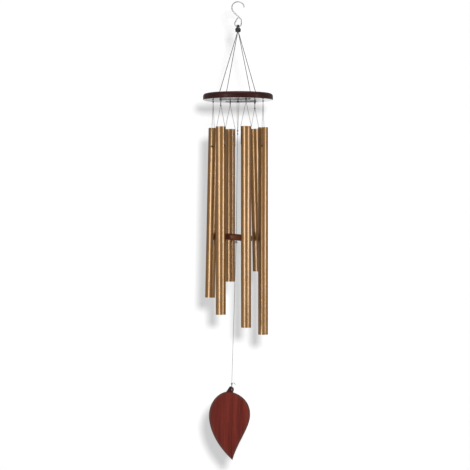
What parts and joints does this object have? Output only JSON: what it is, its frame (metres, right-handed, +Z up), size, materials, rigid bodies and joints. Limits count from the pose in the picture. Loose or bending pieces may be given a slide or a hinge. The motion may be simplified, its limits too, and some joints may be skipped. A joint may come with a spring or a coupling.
{
  "type": "wind chime",
  "caption": "Hanging wind chime: bronze-coloured metal tubes on a ring under a stained wooden disc, with a wooden striker, a leaf-shaped sail and a wire hook.",
  "frame": {"origin": "inside top of the hook's open bend, the point that rests on what carries the chime", "axes": "+Z up along the hanging direction, +X to the right and -Y to the front of the pictured view"},
  "size_m": [0.14, 0.14, 0.9179],
  "materials": {
    "bright_wire": "bright plated wire",
    "black_cord": "black braided cord",
    "grey_cord": "dark grey twisted cord",
    "line": "pale grey twisted line",
    "dark_wood": "dark stain under gloss varnish",
    "red_wood": "red-brown stain under satin varnish",
    "bronze": "bronze anodised, satin"
  },
  "bodies": {
    "hook": {"s_hook": "bright_wire"},
    "hook_loop": {"hook_loop": "black_cord"},
    "crown_knot": {"crown_knot": "black_cord"},
    "crown": {"suspension_cord_front": "grey_cord", "suspension_cord_back": "grey_cord", "top_disc": "dark_wood", "tube_stop_knots": "black_cord", "centre_stop_knot": "black_cord"},
    "swivel_knot_1": {"swivel_knot_1": "black_cord"},
    "hanger_1": {"hanger_cord_1": "grey_cord"},
    "tube_1": {"tube_1": "bronze"},
    "swivel_knot_2": {"swivel_knot_2": "black_cord"},
    "hanger_2": {"hanger_cord_2": "grey_cord"},
    "tube_2": {"tube_2": "bronze"},
    "swivel_knot_3": {"swivel_knot_3": "black_cord"},
    "hanger_3": {"hanger_cord_3": "grey_cord"},
    "tube_3": {"tube_3": "bronze"},
    "swivel_knot_4": {"swivel_knot_4": "black_cord"},
    "hanger_4": {"hanger_cord_4": "grey_cord"},
    "tube_4": {"tube_4": "bronze"},
    "swivel_knot_5": {"swivel_knot_5": "black_cord"},
    "hanger_5": {"hanger_cord_5": "grey_cord"},
    "tube_5": {"tube_5": "bronze"},
    "swivel_knot_6": {"swivel_knot_6": "black_cord"},
    "hanger_6": {"hanger_cord_6": "grey_cord"},
    "tube_6": {"tube_6": "bronze"},
    "centre_knot": {"centre_knot": "black_cord"},
    "striker_line": {"centre_cord": "black_cord", "striker_line": "line"},
    "striker": {"striker": "dark_wood"},
    "striker_knot": {"striker_knot": "line"},
    "sail_line": {"sail_line": "line"},
    "sail_loop": {"sail_loop": "line"},
    "sail": {"sail": "red_wood"}
  },
  "joints": [
    {"name": "loop_swing", "type": "hinge", "parent": "hook", "child": "hook_loop", "pos_m": [0, 0, -0.04781], "axis": [1, 0, 0], "range_deg": [-30, 30]},
    {"name": "crown_sway", "type": "hinge", "parent": "hook_loop", "child": "crown_knot", "pos_m": [0, 0, -0.05586], "axis": [0, -1, 0], "range_deg": [-15, 15]},
    {"name": "crown_turn", "type": "hinge", "parent": "crown_knot", "child": "crown", "pos_m": [0, 0, -0.19586], "axis": [0, 0, 1], "range_deg": [-60, 60]},
    {"name": "tube_1_sway", "type": "hinge", "parent": "crown", "child": "swivel_knot_1", "pos_m": [0.04989, -0.0106, -0.19821], "axis": [0.9781, -0.2079, 0], "range_deg": [-8, 8]},
    {"name": "tube_1_swing", "type": "hinge", "parent": "swivel_knot_1", "child": "hanger_1", "pos_m": [0.04989, -0.0106, -0.19821], "axis": [-0.2079, -0.9781, 0], "range_deg": [-0.9, 15]},
    {"name": "tube_1_tip", "type": "hinge", "parent": "hanger_1", "child": "tube_1", "pos_m": [0.04989, -0.0106, -0.28786], "axis": [-0.2079, -0.9781, 0], "range_deg": [-1.3, 20]},
    {"name": "tube_2_sway", "type": "hinge", "parent": "crown", "child": "swivel_knot_2", "pos_m": [0.01576, -0.0485, -0.19821], "axis": [0.309, -0.9511, 0], "range_deg": [-8, 8]},
    {"name": "tube_2_swing", "type": "hinge", "parent": "swivel_knot_2", "child": "hanger_2", "pos_m": [0.01576, -0.0485, -0.19821], "axis": [-0.9511, -0.309, 0], "range_deg": [-0.9, 15]},
    {"name": "tube_2_tip", "type": "hinge", "parent": "hanger_2", "child": "tube_2", "pos_m": [0.01576, -0.0485, -0.28786], "axis": [-0.9511, -0.309, 0], "range_deg": [-1.3, 20]},
    {"name": "tube_3_sway", "type": "hinge", "parent": "crown", "child": "swivel_knot_3", "pos_m": [-0.03413, -0.0379, -0.19821], "axis": [-0.6691, -0.7431, 0], "range_deg": [-8, 8]},
    {"name": "tube_3_swing", "type": "hinge", "parent": "swivel_knot_3", "child": "hanger_3", "pos_m": [-0.03413, -0.0379, -0.19821], "axis": [0.7431, -0.6691, 0], "range_deg": [-15, 0.9]},
    {"name": "tube_3_tip", "type": "hinge", "parent": "hanger_3", "child": "tube_3", "pos_m": [-0.03413, -0.0379, -0.28786], "axis": [0.7431, -0.6691, 0], "range_deg": [-20, 1.3]},
    {"name": "tube_4_sway", "type": "hinge", "parent": "crown", "child": "swivel_knot_4", "pos_m": [-0.04989, 0.0106, -0.19821], "axis": [-0.9781, 0.2079, 0], "range_deg": [-8, 8]},
    {"name": "tube_4_swing", "type": "hinge", "parent": "swivel_knot_4", "child": "hanger_4", "pos_m": [-0.04989, 0.0106, -0.19821], "axis": [-0.2079, -0.9781, 0], "range_deg": [-15, 0.9]},
    {"name": "tube_4_tip", "type": "hinge", "parent": "hanger_4", "child": "tube_4", "pos_m": [-0.04989, 0.0106, -0.28786], "axis": [-0.2079, -0.9781, 0], "range_deg": [-20, 2.5]},
    {"name": "tube_5_sway", "type": "hinge", "parent": "crown", "child": "swivel_knot_5", "pos_m": [-0.01576, 0.0485, -0.19821], "axis": [-0.309, 0.9511, 0], "range_deg": [-8, 8]},
    {"name": "tube_5_swing", "type": "hinge", "parent": "swivel_knot_5", "child": "hanger_5", "pos_m": [-0.01576, 0.0485, -0.19821], "axis": [-0.9511, -0.309, 0], "range_deg": [-15, 0.9]},
    {"name": "tube_5_tip", "type": "hinge", "parent": "hanger_5", "child": "tube_5", "pos_m": [-0.01576, 0.0485, -0.28786], "axis": [-0.9511, -0.309, 0], "range_deg": [-20, 1.3]},
    {"name": "tube_6_sway", "type": "hinge", "parent": "crown", "child": "swivel_knot_6", "pos_m": [0.03413, 0.0379, -0.19821], "axis": [0.6691, 0.7431, 0], "range_deg": [-8, 8]},
    {"name": "tube_6_swing", "type": "hinge", "parent": "swivel_knot_6", "child": "hanger_6", "pos_m": [0.03413, 0.0379, -0.19821], "axis": [0.7431, -0.6691, 0], "range_deg": [-0.9, 15]},
    {"name": "tube_6_tip", "type": "hinge", "parent": "hanger_6", "child": "tube_6", "pos_m": [0.03413, 0.0379, -0.28786], "axis": [0.7431, -0.6691, 0], "range_deg": [-3.3, 20]},
    {"name": "striker_swing", "type": "hinge", "parent": "crown", "child": "centre_knot", "pos_m": [0, 0, -0.19851], "axis": [-0.2079, -0.9781, 0], "range_deg": [-1.8, 2.4]},
    {"name": "striker_sway", "type": "hinge", "parent": "centre_knot", "child": "striker_line", "pos_m": [0, 0, -0.19851], "axis": [0.9781, -0.2079, 0], "range_deg": [-1.5, 1.5]},
    {"name": "striker_tilt", "type": "hinge", "parent": "striker_line", "child": "striker", "pos_m": [-0.0035, 0, -0.46986], "axis": [0, 1, 0], "range_deg": [-15, 5]},
    {"name": "sail_line_swing", "type": "hinge", "parent": "striker_line", "child": "striker_knot", "pos_m": [-0.00363, 0, -0.47966], "axis": [0, -1, 0], "range_deg": [-10, 10]},
    {"name": "sail_line_sway", "type": "hinge", "parent": "striker_knot", "child": "sail_line", "pos_m": [-0.00363, 0, -0.47966], "axis": [1, 0, 0], "range_deg": [-10, 10]},
    {"name": "sail_turn", "type": "hinge", "parent": "sail_line", "child": "sail_loop", "pos_m": [-0.0125, 0, -0.76308], "axis": [0.0313, 0, 0.9995], "continuous": true},
    {"name": "sail_tip", "type": "hinge", "parent": "sail_loop", "child": "sail", "pos_m": [-0.0125, 0, -0.77486], "axis": [0, -1, 0], "range_deg": [-35, 35]}
  ]
}
